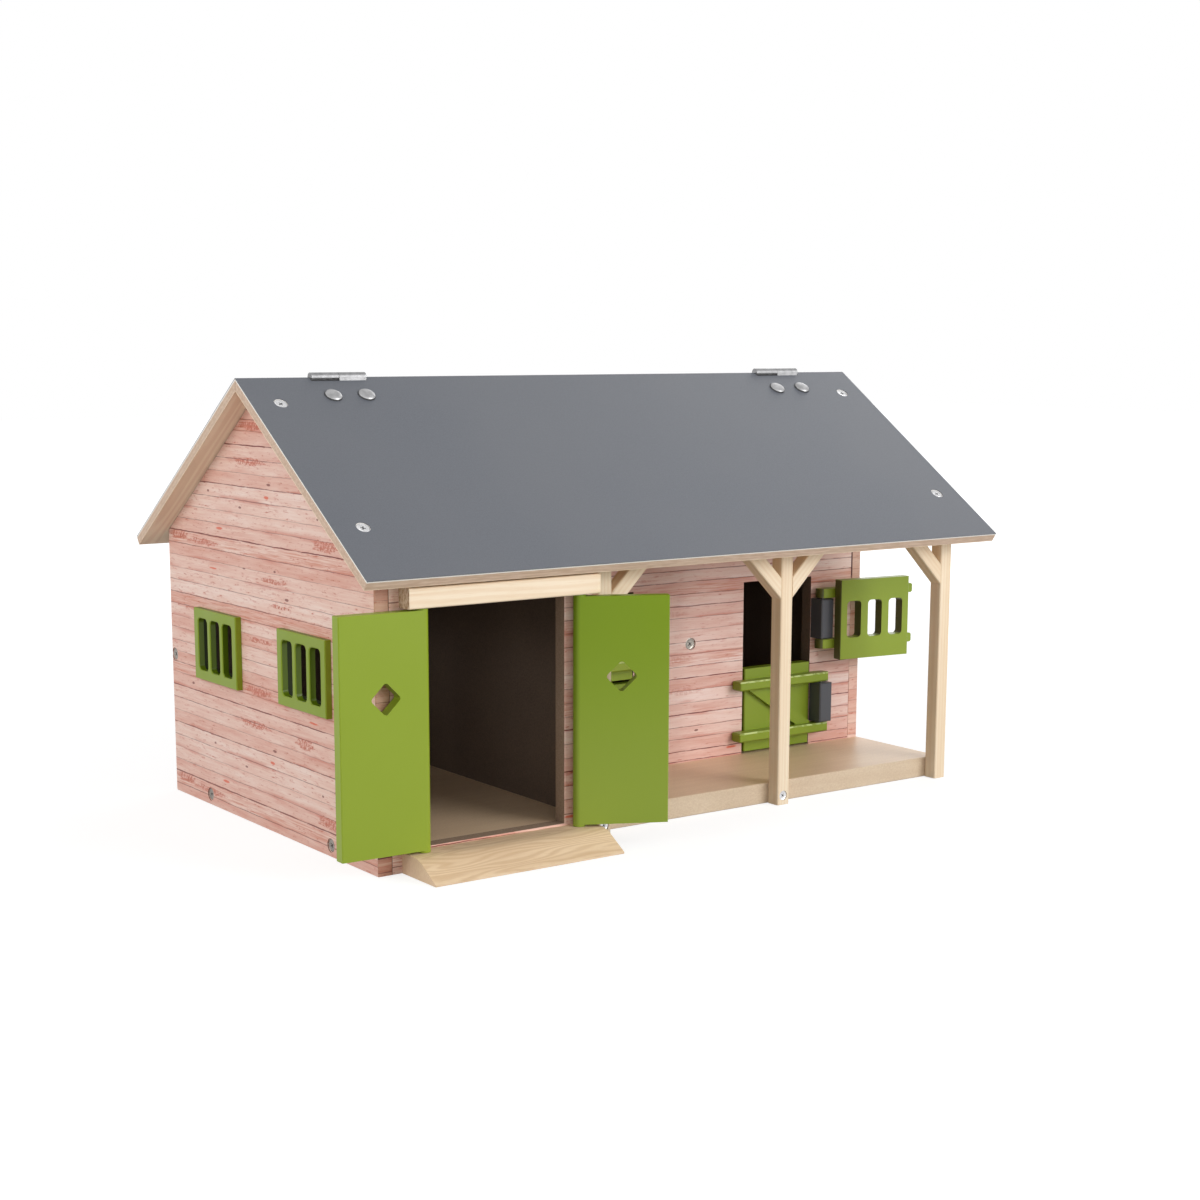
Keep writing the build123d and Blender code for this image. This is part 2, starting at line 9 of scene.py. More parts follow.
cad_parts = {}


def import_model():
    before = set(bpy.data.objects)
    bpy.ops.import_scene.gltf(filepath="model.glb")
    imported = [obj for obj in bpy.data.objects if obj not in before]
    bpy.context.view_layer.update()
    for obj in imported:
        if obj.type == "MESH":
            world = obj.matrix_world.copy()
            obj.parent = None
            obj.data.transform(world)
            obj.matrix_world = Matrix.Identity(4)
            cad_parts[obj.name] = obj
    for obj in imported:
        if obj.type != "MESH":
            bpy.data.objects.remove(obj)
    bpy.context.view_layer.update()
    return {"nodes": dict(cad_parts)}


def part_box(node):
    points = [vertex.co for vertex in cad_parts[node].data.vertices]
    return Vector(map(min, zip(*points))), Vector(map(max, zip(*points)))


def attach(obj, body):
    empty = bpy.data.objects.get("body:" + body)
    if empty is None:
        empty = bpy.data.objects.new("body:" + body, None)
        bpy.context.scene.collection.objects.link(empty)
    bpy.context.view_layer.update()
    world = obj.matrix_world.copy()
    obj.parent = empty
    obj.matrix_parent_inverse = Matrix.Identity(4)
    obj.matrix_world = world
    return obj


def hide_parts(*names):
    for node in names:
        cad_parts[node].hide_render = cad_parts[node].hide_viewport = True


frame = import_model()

MM = 0.001
nodes = frame["nodes"]

# ---- sizes read from the frame, in metres ----
GABLE_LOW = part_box("left_gable")[0]
RIGHT_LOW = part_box("right_gable")[0]
FRONT_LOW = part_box("roof_front")[0]
REAR_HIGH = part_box("roof_rear")[1]
STORE_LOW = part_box("storage_front")[0]
RIDGE_Y = (FRONT_LOW.y + REAR_HIGH.y) / 2
# the house's outer left-hand front corner, on the ground
CORNER = Vector((GABLE_LOW.x, STORE_LOW.y, 0.0))

# ---- sizes in millimetres from that corner ----
WIDTH, DEPTH = 423.0, 255.0
BOARD_MID = 4.25            # middle of a wall board's thickness
RIDGE_TOP = 256.9
SLOPE = radians(34.25)
STABLE_Y = 90.6             # outer face of the stable front
PORCH_Y = 5.5               # front of the posts and of the storage bay's side wall
WINDOW_MID = 98.5
WINDOW_REACH = 24.0         # the window holes end within this of their middle height
CORNER_CLEAR = 20.0         # and stay further than this from the gable's upright edges
RIDGE_Z = RIDGE_TOP * MM


# ---- node helpers ----
class Shader:
    """A material's node tree, built by short calls that return sockets."""

    def __init__(self, tree):
        self.tree = tree
        self.nodes = tree.nodes
        self.links = tree.links

    def plug(self, socket, value):
        if isinstance(value, bpy.types.NodeSocket):
            self.links.new(value, socket)
        elif isinstance(value, (tuple, list)) and socket.type == "RGBA":
            socket.default_value = (*value[:3], 1.0)
        else:
            socket.default_value = value

    def node(self, kind, **settings):
        node = self.nodes.new(kind)
        for name, value in settings.items():
            setattr(node, name, value)
        return node

    def math(self, op, a, b=0.0, c=0.0, clamp=False):
        node = self.node("ShaderNodeMath", operation=op, use_clamp=clamp)
        for socket, value in zip(node.inputs, (a, b, c)):
            self.plug(socket, value)
        return node.outputs[0]

    def plus(self, a, b):
        return self.math("ADD", a, b)

    def minus(self, a, b):
        return self.math("SUBTRACT", a, b)

    def times(self, a, b, clamp=False):
        return self.math("MULTIPLY", a, b, clamp=clamp)

    def over(self, a, b):
        return self.math("GREATER_THAN", a, b)

    def under(self, a, b):
        return self.math("LESS_THAN", a, b)

    def vector(self, op, a, b=(0, 0, 0)):
        """Vector maths; b is a vector, or a number when scaling."""
        node = self.node("ShaderNodeVectorMath", operation=op)
        self.plug(node.inputs[0], a)
        if op == "SCALE":
            self.plug(node.inputs["Scale"], b)
        else:
            self.plug(node.inputs[1], b)
        return node.outputs["Value" if op in ("DOT_PRODUCT", "LENGTH") else "Vector"]

    def combine(self, x, y, z):
        node = self.node("ShaderNodeCombineXYZ")
        for socket, value in zip(node.inputs, (x, y, z)):
            self.plug(socket, value)
        return node.outputs[0]

    def separate(self, vector):
        node = self.node("ShaderNodeSeparateXYZ")
        self.plug(node.inputs[0], vector)
        return node.outputs

    def rotated(self, vector, angles):
        node = self.node("ShaderNodeMapping")
        self.plug(node.inputs["Vector"], vector)
        self.plug(node.inputs["Rotation"], angles)
        return node.outputs[0]

    def noise(self, vector, scale=1.0, detail=3.0, rough=0.5, twist=0.0):
        """Cloudy noise at a place, about 0 to 1."""
        node = self.node("ShaderNodeTexNoise")
        for name, value in (("Vector", vector), ("Scale", scale), ("Detail", detail), ("Roughness", rough),
                            ("Distortion", twist)):
            self.plug(node.inputs[name], value)
        return node.outputs["Fac"]

    def ramp(self, fac, *stops):
        """Colour ramp from (position, colour) stops."""
        node = self.node("ShaderNodeValToRGB")
        band = node.color_ramp
        while len(band.elements) < len(stops):
            band.elements.new(0.5)
        for element, (position, colour) in zip(band.elements, stops):
            element.position = position
            element.color = (*colour[:3], 1.0)
        self.plug(node.inputs[0], fac)
        return node.outputs[0]

    def span(self, value, low, high, to_low=0.0, to_high=1.0, smooth=True):
        """Map a range to another, held at its ends."""
        node = self.node("ShaderNodeMapRange", interpolation_type="SMOOTHSTEP" if smooth else "LINEAR")
        for socket, item in zip(node.inputs, (value, low, high, to_low, to_high)):
            self.plug(socket, item)
        return node.outputs[0]

    def white(self, value):
        """Three random numbers that change with a whole number."""
        node = self.node("ShaderNodeTexWhiteNoise", noise_dimensions="1D")
        self.plug(node.inputs["W"], value)
        return self.separate(node.outputs["Color"])

    def curve(self, value, points):
        """Straight runs through (x, y) points, all from 0 to 1."""
        node = self.node("ShaderNodeFloatCurve")
        line = node.mapping.curves[0]
        while len(line.points) < len(points):
            line.points.new(0.5, 0.5)
        for point, place in zip(line.points, points):
            point.location = place
            point.handle_type = "VECTOR"
        node.mapping.update()
        self.plug(node.inputs["Value"], value)
        return node.outputs[0]

    def spots(self, at, places):
        """How near a point is to one of some flat ovals: 1 at its middle, 0 from its edge on."""
        least = None
        for along, up, long, high in places:
            off = self.vector("SUBTRACT", at, (along, up, 0))
            away = self.vector("LENGTH", self.vector("MULTIPLY", off, (1 / long, 1 / high, 0)))
            least = away if least is None else self.math("MINIMUM", least, away)
        return self.math("SUBTRACT", 1.0, least, clamp=True)

    def mix(self, fac, a, b, blend="MIX"):
        node = self.node("ShaderNodeMix", data_type="RGBA", blend_type=blend)
        self.plug(node.inputs[0], fac)
        self.plug(node.inputs[6], a)
        self.plug(node.inputs[7], b)
        return node.outputs[2]

    def tint(self, colour, by):
        """A colour multiplied by another."""
        return self.mix(1.0, colour, by, "MULTIPLY")

    def group(self, tree, **values):
        node = self.node("ShaderNodeGroup", node_tree=tree)
        for name, value in values.items():
            self.plug(node.inputs[name.replace("_", " ")], value)
        return node.outputs


def new_group(name, inputs, outputs):
    """An empty shader group with named sockets: name, kind and default value."""
    tree = bpy.data.node_groups.new(name, "ShaderNodeTree")
    for label, kind, value in inputs:
        socket = tree.interface.new_socket(name=label, in_out="INPUT", socket_type="NodeSocket" + kind)
        if value is not None:
            socket.default_value = value
    for label, kind in outputs:
        tree.interface.new_socket(name=label, in_out="OUTPUT", socket_type="NodeSocket" + kind)
    shader = Shader(tree)
    return shader, shader.node("NodeGroupInput").outputs, shader.node("NodeGroupOutput").inputs


def srgb(r, g, b):
    """A colour as a paint sample gives it, 0 to 255, made linear."""
    def linear(v):
        v /= 255
        return v / 12.92 if v <= 0.04045 else ((v + 0.055) / 1.055) ** 2.4
    return (linear(r), linear(g), linear(b))


# ---- shader groups ----
def grain_group():
    """Wood figure along X of the given vector: wide bands, fine fibre and pores."""
    s, given, out = new_group(
        "wood_grain",
        [("Vector", "Vector", None), ("Band Pitch", "Float", 0.004), ("Wander", "Float", 0.6),
         ("Stretch", "Float", 12.0), ("Seed", "Float", 0.0)],
        [("Bands", "Float"), ("Fibre", "Float"), ("Pores", "Float")])
    moved = s.vector("ADD", given["Vector"], s.combine(given["Seed"], given["Seed"], given["Seed"]))
    squeezed = s.vector("MULTIPLY", moved, s.combine(s.math("DIVIDE", 1.0, given["Stretch"]), 1.0, 1.0))
    drift = s.noise(squeezed, scale=55.0, detail=2.0)
    across = s.separate(squeezed)
    run = s.plus(across["Z"], s.times(across["Y"], 0.6))
    bent = s.times(s.times(drift, given["Wander"]), 18.0)
    rings = s.plus(s.math("DIVIDE", run, given["Band Pitch"]), bent)
    wave = s.math("SINE", s.times(rings, 2 * pi))
    s.plug(out["Bands"], s.span(wave, -0.9, 1.0))
    s.plug(out["Fibre"], s.noise(squeezed, scale=1400.0, detail=3.0, rough=0.65))
    fine = s.vector("MULTIPLY", squeezed, (0.35, 1.0, 1.0))
    s.plug(out["Pores"], s.span(s.noise(fine, scale=2600.0, detail=1.0), 0.6, 0.75))
    return s.tree


def planks_group():
    """Printed planks in millimetres: colour, joint lines and relief. Plank counts up by
    one at each joint, and Dark is how dark the nearest joint is."""
    s, given, out = new_group(
        "printed_planks",
        [("Along", "Float", 0.0), ("Up", "Float", 0.0), ("Plank", "Float", 0.0), ("Dark", "Float", 0.5),
         ("Seed", "Float", 0.0), ("Marks", "Float", 1.0)],
        [("Colour", "Color"), ("Joint", "Float"), ("Relief", "Float")])
    along, up, plank, seed = given["Along"], given["Up"], given["Plank"], given["Seed"]
    index = s.math("FLOOR", plank)
    across = s.minus(plank, index)
    pick = s.white(s.plus(index, seed))
    own = s.times(pick["X"], 31.0)
    near = s.times(s.math("MINIMUM", across, s.minus(1.0, across)), PLANK_H)

    def figure(run, rise, detail=3.0, rough=0.55, shift=0.0, twist=0.0):
        """Noise stretched along a plank: its length and height in millimetres."""
        at = s.combine(s.times(along, 1 / run), s.times(up, 1 / rise), s.plus(own, shift))
        return s.noise(at, detail=detail, rough=rough, twist=twist)

    def stained(base, mask, strength, colour):
        return s.mix(s.times(mask, strength), base, colour)

    # body of a plank: its own tone, cloudy bands and full-length grain
    tone = s.plus(s.times(pick["Y"], 0.34), s.times(figure(34.0, 3.4), 0.66))
    base = s.ramp(tone, (0.25, srgb(221, 165, 147)), (0.42, srgb(231, 187, 171)),
                  (0.58, srgb(239, 204, 189)), (0.76, srgb(246, 220, 208)))
    grain = figure(34.0, 0.5, detail=5.0, rough=0.68, shift=5.0, twist=0.25)
    base = s.mix(s.span(grain, 0.52, 0.74, 0.0, 0.5), base, srgb(205, 130, 110))
    base = s.mix(s.span(grain, 0.28, 0.46, 0.42, 0.0), base, srgb(250, 229, 217))
    # rusty shade beside some joints
    blush = s.times(s.span(near, 0.3, 2.6, 1.0, 0.0), s.span(figure(60.0, 9.0, shift=9.0), 0.5, 0.66))
    base = stained(base, blush, 0.6, srgb(202, 118, 98))
    # planks brushed red over their whole length
    flat = s.combine(along, up, 0.0)
    streaks = s.span(figure(24.0, 0.8, shift=15.0), 0.38, 0.66)
    brushed = s.times(s.span(s.spots(flat, FLUSHES), 0.0, 0.3), streaks)
    base = stained(base, brushed, 0.62, srgb(203, 116, 86))
    # stippled patches: rows of short upright marks on a flushed ground
    ragged = s.minus(figure(7.0, 1.4, shift=2.0), 0.5)
    patch = s.span(s.plus(s.spots(flat, STIPPLES), s.times(ragged, 1.3)), 0.05, 0.38)
    patch = s.times(patch, given["Marks"])
    marks = s.span(figure(1.7, 2.0, rough=0.7, shift=4.0), 0.44, 0.56)
    base = stained(base, s.times(patch, marks), 0.85, srgb(182, 90, 62))
    flush = s.times(patch, s.span(figure(12.0, 0.8, shift=6.0), 0.4, 0.6))
    base = stained(base, flush, 0.55, srgb(204, 112, 92))
    # loose rusty dashes on every plank
    dash = s.span(figure(8.0, 0.6, detail=2.0, shift=12.0), 0.64, 0.74)
    base = stained(base, dash, 0.6, srgb(196, 92, 72))
    # warm dashes and knots
    for places, roughness, full, colour in ((DASHES, 0.9, 0.45, srgb(222, 96, 62)),
                                            (KNOTS, 0.8, 0.4, srgb(122, 56, 46))):
        spot = s.span(s.plus(s.spots(flat, places), s.times(ragged, roughness)), 0.1, full)
        base = stained(base, spot, 0.85, colour)
    # joint lines, thinner and paler along some stretches
    at_joint = s.combine(s.times(along, 0.07), s.times(s.math("ROUND", plank), 3.7), seed)
    worn = s.noise(at_joint, detail=4.0, rough=0.6)
    dark = s.times(given["Dark"], s.span(worn, 0.3, 0.52, 0.45, 1.0))
    width = s.times(s.span(worn, 0.3, 0.7, 0.27, 0.43), s.span(dark, 0.0, 1.0, 0.7, 1.15, smooth=False))
    line = s.span(near, s.times(width, 0.4), width, 1.0, 0.0)
    joint = s.times(line, s.span(dark, 0.0, 1.0, 0.25, 1.0, smooth=False), clamp=True)
    s.plug(out["Colour"], s.mix(joint, base, srgb(108, 18, 6)))
    s.plug(out["Joint"], joint)
    s.plug(out["Relief"], grain)
    return s.tree


def paint_group():
    """Paint: orange peel, faint brush lines and slight changes of tone and gloss."""
    s, given, out = new_group(
        "painted_wood",
        [("Vector", "Vector", None), ("Colour", "Color", (0.5, 0.5, 0.5, 1)),
         ("Grain Show", "Float", 0.3)],
        [("Colour", "Color"), ("Roughness", "Float"), ("Height", "Float")])
    peel = s.noise(given["Vector"], scale=900.0, detail=2.0)
    broad = s.noise(given["Vector"], scale=28.0, detail=2.0)
    lines = s.noise(s.vector("MULTIPLY", given["Vector"], (1.0, 1.0, 0.06)), scale=1500.0, detail=2.0)
    shade = s.mix(s.span(broad, 0.3, 0.7, 0.0, 0.22), given["Colour"], srgb(96, 124, 24))
    lined = s.mix(s.times(s.span(lines, 0.55, 0.75), given["Grain Show"]), given["Colour"], shade)
    s.plug(out["Colour"], lined)
    s.plug(out["Roughness"], s.span(broad, 0.25, 0.75, 0.3, 0.42))
    height = s.plus(s.times(peel, 0.6), s.times(lines, given["Grain Show"]))
    s.plug(out["Height"], height)
    return s.tree


# ---- the print, in millimetres ----
PRINT_H = 151.0      # height after which the pattern starts again
PLANK_H = 7.6        # a usual plank
# height and darkness of each joint, on the gables and on the front walls
GABLE_JOINTS = [
    (5.2, 0.6), (13.2, 1.0), (21.0, 0.35), (28.8, 0.22), (36.4, 0.5), (44.4, 0.85), (52.0, 0.2),
    (60.0, 0.6), (68.0, 1.0), (76.0, 0.25), (82.3, 0.65), (89.2, 0.2), (96.0, 0.45), (103.9, 0.35),
    (111.4, 0.08), (118.9, 0.55), (126.0, 0.75), (133.6, 0.45), (141.2, 0.28), (148.8, 0.15)]
FRONT_JOINTS = [
    (6.0, 0.6), (13.4, 0.9), (19.6, 0.95), (27.7, 0.45), (35.4, 0.5), (43.8, 1.0), (51.0, 0.35),
    (58.8, 0.45), (66.8, 1.0), (74.3, 0.75), (82.1, 0.4), (89.6, 0.7), (97.6, 0.15), (105.4, 0.35),
    (112.9, 0.8), (120.4, 0.5), (128.2, 0.7), (135.3, 0.6), (145.7, 0.6)]
# middle, half length and half height of marks in the print
STIPPLES = [
    (142, 58.8, 22, 3.2), (80, 57.5, 13, 4.0), (52, 18, 17, 4.2), (132, 108.5, 18, 2.0),
    (107, 130.8, 15, 1.3), (115, 144.5, 22, 1.6), (240, 10.5, 15, 3.0), (135, 79, 21, 3.2),
    (205, 8.5, 26, 2.0), (30, 100, 18, 2.4), (215, 118, 20, 1.6)]
DASHES = [
    (182.5, 18.2, 6.0, 1.1), (192, 145, 7.0, 0.7), (69, 71, 8.0, 0.8), (20, 47, 7, 0.8), (120, 40, 4, 1.2)]
FLUSHES = [
    (128, 9.0, 260, 5.6), (128, 79.0, 260, 4.6), (128, 122.4, 260, 4.8), (380, 9.0, 260, 5.6),
    (380, 122.4, 260, 4.8)]
KNOTS = [
    (196, 39.5, 2.0, 0.9), (154, 32.2, 2.2, 0.8), (117, 47.2, 3.2, 1.0), (98, 135.8, 3.0, 1.1),
    (112, 150.2, 1.8, 0.9), (151, 148.6, 2.6, 0.7), (60, 32, 1.6, 0.8), (30, 88, 2.4, 0.9),
    (225, 72, 2.2, 0.9)]

GRAIN = grain_group()
PLANKS = planks_group()
PAINT = paint_group()


# ---- materials ----
# two tones of bare board, darkened as painted shade of the house's inside
SHADED_BARE_BOARD = (srgb(116, 98, 84), srgb(84, 70, 60))
FACING = 0.6                # share of a face's direction past which it counts as turned that way
STRIP_DROP = 3.4            # the print starts this much lower on a board's front edge
SKIN = 0.42 * MM            # thickness of the roof's grey laminate
UNDERSIDE = 5.75 * MM       # depth in a roof panel from which its underside shows
PLY = 2.0 * MM
LIP = 0.75 * MM             # depth of the white line under the laminate
RIM = 0.6 * MM              # what lies this near a window frame's end is on its outer rim


def new_material(name):
    material = bpy.data.materials.new(name)
    material.use_nodes = True
    s = Shader(material.node_tree)
    surface = next(n for n in s.nodes if n.type == "BSDF_PRINCIPLED")
    return material, s, surface.inputs


def object_at(s):
    return s.node("ShaderNodeTexCoord").outputs["Object"]


def facing(s):
    """The face's own direction, as X, Y and Z sockets."""
    return s.separate(s.node("ShaderNodeNewGeometry").outputs["True Normal"])


def bumped(s, surface, height, depth, strength):
    bump = s.node("ShaderNodeBump")
    s.plug(bump.inputs["Height"], height)
    s.plug(bump.inputs["Distance"], depth)
    s.plug(bump.inputs["Strength"], strength)
    s.plug(surface["Normal"], bump.outputs[0])


def fibreboard(s, at, light, dark):
    """Bare pressed board: two tones of short fibres."""
    fibres = s.noise(s.vector("MULTIPLY", at, (1.0, 1.0, 1.6)), scale=700.0, detail=4.0, rough=0.7)
    cloud = s.noise(at, scale=18.0, detail=2.0)
    tone = s.plus(s.times(fibres, 0.7), s.times(cloud, 0.3))
    return s.ramp(tone, (0.3, dark), (0.7, light)), fibres


def wavering(s, along, up, wander, seed):
    """A height with the slow sway and small shiver that keep a joint from running straight."""
    sway = s.noise(s.combine(s.times(along, 0.012), s.times(up, 0.05), seed), detail=1.0)
    shiver = s.noise(s.combine(s.times(along, 0.11), s.times(up, 0.3), seed), detail=2.0)
    swayed = s.plus(s.times(s.minus(sway, 0.5), wander * 2), s.times(s.minus(shiver, 0.5), 0.7))
    return s.plus(up, swayed)


def counted(s, up, joints):
    """Where a height falls in the print: its plank, how dark the joint is and its height there."""
    first = joints[0][0]
    turn = s.math("FRACT", s.math("DIVIDE", s.minus(up, first), PRINT_H))
    stops = [(height - first) / PRINT_H for height, dark in joints] + [1.0]
    darks = [dark for height, dark in joints] + [joints[0][1]]
    count = len(joints)
    plank = s.times(s.curve(turn, [(stop, i / count) for i, stop in enumerate(stops)]), count)
    return plank, s.curve(turn, list(zip(stops, darks))), s.math("MULTIPLY_ADD", turn, PRINT_H, first)


def window_sides(s, place, way):
    """1 on the sides of the window holes."""
    level = s.under(s.math("ABSOLUTE", s.minus(place["Z"], WINDOW_MID)), WINDOW_REACH)
    sides = s.times(s.under(s.math("ABSOLUTE", way["X"]), 0.5), level)
    sides = s.times(sides, s.over(place["Y"], CORNER_CLEAR))
    return s.times(sides, s.under(place["Y"], DEPTH - CORNER_CLEAR))


def plank_wall(name, outer, joints, front=None, slide=0.0, lift=0.0, wander=0.9, seed=0.0, marks=1.0,
               holes_with_painted_shade=False, tone=(1.0, 1.0, 1.0), strip_tint=(0.66, 0.56, 0.47), strip_dark=1.0,
               shaded_seam=None, inside=SHADED_BARE_BOARD):
    """A board printed on the face that points along outer, and on its front edge where
    front gives that edge's place. Slide and lift move the print, in millimetres, wander
    is how far its joints sway, and marks how strong its stippled patches are. Strip tint
    and dark are the front edge's tint and how dark its joints are, and seam gives the place
    and lowest height of an open gap by that edge: from there up the gap is a dark line of
    painted shade and the edge is darkened with painted shade. Inside is the two tones of the
    bare board, darkened by default as painted shade inside the house."""
    material, s, surface = new_material(name)
    at = object_at(s)
    place = s.separate(s.vector("SCALE", s.vector("SUBTRACT", at, CORNER), 1 / MM))
    normal = s.node("ShaderNodeNewGeometry").outputs["True Normal"]
    way = s.separate(normal)
    side_on = s.over(s.math("ABSOLUTE", way["X"]), FACING)
    along = s.plus(s.times(place["Y"], side_on), s.times(place["X"], s.minus(1.0, side_on)))
    along = s.plus(along, slide)
    face = s.over(s.vector("DOT_PRODUCT", normal, outer), 0.5)
    strip = 0.0
    if front is not None:
        strip = s.times(s.under(way["Y"], -0.5), s.under(place["Y"], front + 1.0))
    printed = s.math("MAXIMUM", face, strip)
    up = s.plus(place["Z"], s.math("MULTIPLY_ADD", strip, STRIP_DROP, lift))
    plank, dark, up = counted(s, wavering(s, along, up, wander, seed), joints)
    dark = s.times(dark, s.span(strip, 0.0, 1.0, 1.0, strip_dark, smooth=False))
    planks = s.group(PLANKS, Along=along, Up=up, Plank=plank, Dark=dark, Seed=seed, Marks=marks)
    bare, fibres = fibreboard(s, at, *inside)
    # the edges at the back of the house are paler
    rear = s.times(s.over(way["Y"], 0.5), s.over(place["Y"], DEPTH - 1.0))
    bare = s.mix(rear, bare, srgb(186, 158, 136))
    # the window holes' sides: green paint darkened nearly to black as painted shade in the holes
    if holes_with_painted_shade:
        bare = s.mix(window_sides(s, place, way), bare, srgb(42, 52, 16))
    colour = s.mix(strip, s.tint(planks["Colour"], tone), strip_tint, "MULTIPLY")
    # painted shade: the front edge darker from the given height up, and a dark line in the open gap by it
    if shaded_seam:
        seam_x, shade_low = shaded_seam
        painted_shade_above = s.times(strip, s.span(place["Z"], shade_low, shade_low + 6.0))
        colour = s.mix(painted_shade_above, colour, s.tint(colour, (0.84, 0.83, 0.79)))
        painted_gap_shade = s.times(painted_shade_above, s.span(place["X"], seam_x + 0.9, seam_x + 1.6, 1.0, 0.0))
        colour = s.mix(painted_gap_shade, colour, srgb(84, 32, 26))
    s.plug(surface["Base Color"], s.mix(printed, bare, colour))
    s.plug(surface["Roughness"], s.span(printed, 0.0, 1.0, 0.75, 0.5))
    relief = s.plus(s.times(planks["Relief"], 0.5), s.times(planks["Joint"], -0.6))
    height = s.plus(s.times(relief, printed), s.times(fibres, s.minus(1.0, printed)))
    bumped(s, surface, height, 0.05 * MM, 0.5)
    return material


def bare_board(name, light, dark, seed=0.0):
    """Floor and inner boards with a faint straight figure along X."""
    material, s, surface = new_material(name)
    at = object_at(s)
    base, fibres = fibreboard(s, at, light, dark)
    grain = s.group(GRAIN, Vector=at, Band_Pitch=0.011, Wander=0.25, Stretch=14.0, Seed=seed)
    veined = s.mix(s.times(grain["Bands"], 0.22), base, dark)
    pored = s.mix(s.times(grain["Pores"], 0.25), veined, dark)
    # the sawn front edge is greyer
    sawn = s.under(facing(s)["Y"], -FACING)
    s.plug(surface["Base Color"], s.mix(sawn, pored, s.tint(pored, (0.9, 0.95, 1.0))))
    s.plug(surface["Roughness"], s.span(fibres, 0.3, 0.7, 0.34, 0.46))
    bumped(s, surface, s.plus(grain["Fibre"], fibres), 0.03 * MM, 0.4)
    return material


def roof_board(name, side):
    """Grey laminate on the outer face, plywood edges with a white line under the laminate,
    and a bare underside. Side is -1 for the front panel and 1 for the rear one."""
    material, s, surface = new_material(name)
    at = object_at(s)
    place = s.separate(at)
    down = s.times(s.minus(place["Y"], RIDGE_Y), side)
    depth = s.plus(s.times(s.minus(RIDGE_Z, place["Z"]), cos(SLOPE)), s.times(down, -sin(SLOPE)))
    skin = s.under(depth, SKIN)
    under = s.over(depth, UNDERSIDE)
    speck = s.noise(at, scale=1600.0, detail=3.0, rough=0.7)
    haze = s.noise(at, scale=9.0, detail=2.0)
    grey = s.mix(s.span(speck, 0.35, 0.65), srgb(89, 93, 101), srgb(98, 102, 110))
    grey = s.mix(s.span(haze, 0.3, 0.7, 0.0, 0.35), grey, srgb(104, 106, 111))
    layers = s.math("SINE", s.times(depth, 2 * pi / PLY))
    edge_grain = s.noise(s.vector("MULTIPLY", at, (0.12, 1.0, 1.0)), scale=900.0, detail=3.0)
    edge = s.mix(s.span(edge_grain, 0.35, 0.65), srgb(222, 196, 174), srgb(204, 175, 150))
    edge = s.mix(s.span(layers, 0.2, 0.9, 0.0, 0.25), edge, srgb(186, 156, 130))
    off_lip = s.math("ABSOLUTE", s.minus(depth, LIP))
    lip = s.span(off_lip, 0.25 * MM, 0.5 * MM, 1.0, 0.0)
    edge = s.mix(s.times(lip, 0.95), edge, srgb(255, 252, 246))
    sloping = s.combine(down, place["X"], depth)
    grain = s.group(GRAIN, Vector=sloping, Band_Pitch=0.012, Wander=0.5, Stretch=16.0, Seed=3.7)
    bare = s.mix(s.times(grain["Bands"], 0.4), srgb(255, 236, 208), srgb(226, 192, 162))
    s.plug(surface["Base Color"], s.mix(skin, s.mix(under, edge, bare), grey))
    s.plug(surface["Roughness"], s.span(skin, 0.0, 1.0, 0.62, 0.42))
    bumped(s, surface, s.plus(speck, edge_grain), 0.04 * MM, 0.5)
    return material


def bare_bar(name, light, dark, pitch, wander, stretch, contrast, seed, turn=(0, 0, 0), sawn=None):
    """Planed bar. Turn brings the bar's length to X of the figure, and sawn is the colour
    of its cut ends."""
    material, s, surface = new_material(name)
    at = s.rotated(object_at(s), turn)
    grain = s.group(GRAIN, Vector=at, Band_Pitch=pitch, Wander=wander, Stretch=stretch, Seed=seed)
    broad = s.noise(s.vector("MULTIPLY", at, (0.1, 1.0, 1.0)), scale=90.0, detail=2.0)
    base = s.mix(s.span(broad, 0.3, 0.7), light, s.mix(0.35, light, dark))
    banded = s.mix(s.times(grain["Bands"], contrast), base, dark)
    fibred = s.mix(s.span(grain["Fibre"], 0.5, 0.8, 0.0, 0.3), banded, dark)
    pored = s.mix(s.times(grain["Pores"], 0.25), fibred, dark)
    if sawn:
        ends = s.over(s.math("ABSOLUTE", facing(s)["X"]), 0.9)
        rough = s.noise(s.vector("MULTIPLY", at, (1.0, 1.0, 0.35)), scale=1300.0, detail=3.0, rough=0.7)
        cut = s.mix(s.span(rough, 0.36, 0.66), s.mix(0.55, light, sawn), sawn)
        pored = s.mix(ends, pored, cut)
    s.plug(surface["Base Color"], pored)
    s.plug(surface["Roughness"], s.span(grain["Fibre"], 0.3, 0.7, 0.5, 0.64))
    bumped(s, surface, s.plus(grain["Fibre"], s.times(grain["Bands"], 0.4)), 0.05 * MM, 0.5)
    return material


